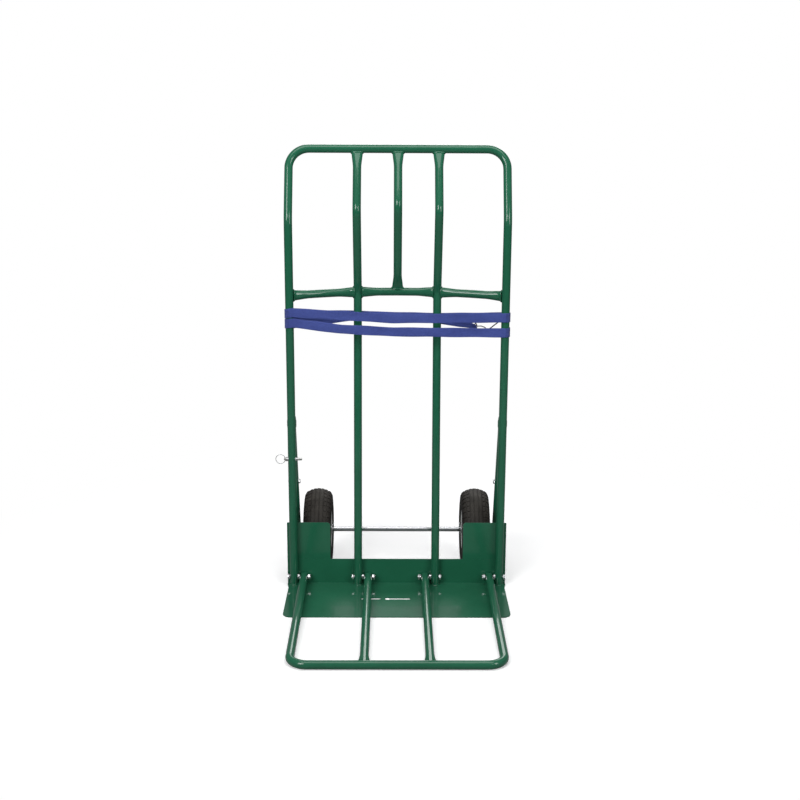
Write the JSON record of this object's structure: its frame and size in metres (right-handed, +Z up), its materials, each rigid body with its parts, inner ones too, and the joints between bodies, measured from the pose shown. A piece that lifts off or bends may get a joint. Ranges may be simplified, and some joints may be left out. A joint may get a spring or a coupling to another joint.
{
  "type": "garden cart",
  "caption": "Upright tubular steel hand truck with pneumatic wheels, folding nose frame, toe plate and a webbing strap round its uprights.",
  "frame": {"origin": "underside of the toe plate, below the centre plane of the main tubes, midway between them", "axes": "+Z up, -Y towards the nose frame, +X to the right as seen from the nose looking at the cart"},
  "size_m": [0.7219, 0.8847, 1.3685],
  "materials": {
    "green_paint": "gloss powder coat",
    "rim_paint": "semi-gloss paint",
    "hub_paint": "semi-gloss paint",
    "tyre": "moulded tread",
    "inner_tube": "smooth",
    "chrome": "bright drawn rod",
    "zinc": "bright zinc plate",
    "pin_steel": "zinc pin with a dark head",
    "webbing": "flat woven webbing",
    "hook_wire": "dark coated wire",
    "black_plastic": "moulded",
    "valve": "moulded"
  },
  "bodies": {
    "frame": {"axle": "chrome", "axle_brace_left": "green_paint", "axle_brace_right": "green_paint", "axle_spacers": "zinc", "axle_washers": "zinc", "cross_bar_centre": "green_paint", "cross_bar_left": "green_paint", "cross_bar_right": "green_paint", "grid_bar_centre": "green_paint", "handle_bar": "green_paint", "handle_bend_left": "green_paint", "handle_bend_right": "green_paint", "inner_upright_left": "green_paint", "inner_upright_right": "green_paint", "main_tube_left": "green_paint", "main_tube_right": "green_paint", "pin_sleeve": "zinc", "pivot_bolts": "zinc", "pivot_nuts": "zinc", "pivot_spacers": "zinc", "split_pins": "zinc", "stay_bolts": "zinc", "stay_left": "green_paint", "stay_nuts": "zinc", "stay_plugs": "black_plastic", "stay_right": "green_paint", "strap_hooks": "hook_wire", "strap_turn_lower": "webbing", "strap_turn_upper": "webbing", "toe_plate": "green_paint", "wheel_guard_left": "green_paint", "wheel_guard_right": "green_paint"},
    "left_wheel": {"left_bearings": "zinc", "left_hub": "hub_paint", "left_inner_tube": "inner_tube", "left_rim_bolts": "zinc", "left_rim_inner": "rim_paint", "left_rim_nuts": "zinc", "left_rim_outer": "rim_paint", "left_tyre": "tyre", "left_valve": "valve"},
    "right_wheel": {"right_bearings": "zinc", "right_hub": "hub_paint", "right_inner_tube": "inner_tube", "right_rim_bolts": "zinc", "right_rim_inner": "rim_paint", "right_rim_nuts": "zinc", "right_rim_outer": "rim_paint", "right_tyre": "tyre", "right_valve": "valve"},
    "nose_frame": {"nose_bar_left": "green_paint", "nose_bar_right": "green_paint", "nose_bushes": "black_plastic", "nose_hoop": "green_paint"},
    "lock_pin": {"lock_pin": "pin_steel"},
    "pin_ring": {"pin_ring": "zinc"}
  },
  "joints": [
    {"name": "left_wheel_spin", "type": "hinge", "parent": "frame", "child": "left_wheel", "pos_m": [-0.2545, 0.1532, 0.13325], "axis": [1, 0, 0], "continuous": true},
    {"name": "right_wheel_spin", "type": "hinge", "parent": "frame", "child": "right_wheel", "pos_m": [0.2545, 0.1532, 0.13325], "axis": [1, 0, 0], "continuous": true},
    {"name": "nose_fold", "type": "hinge", "parent": "frame", "child": "nose_frame", "pos_m": [0, -0.001, 0.029], "axis": [-1, 0, 0], "range_deg": [0, 91.6]},
    {"name": "pin_pull", "type": "slide", "parent": "frame", "child": "lock_pin", "axis": [-1, 0, 0], "range_m": [0, 0.05]},
    {"name": "ring_turn", "type": "hinge", "parent": "lock_pin", "child": "pin_ring", "pos_m": [-0.346, -0.001, 0.417], "axis": [0, 0, 1], "range_deg": [-80, 80]}
  ]
}
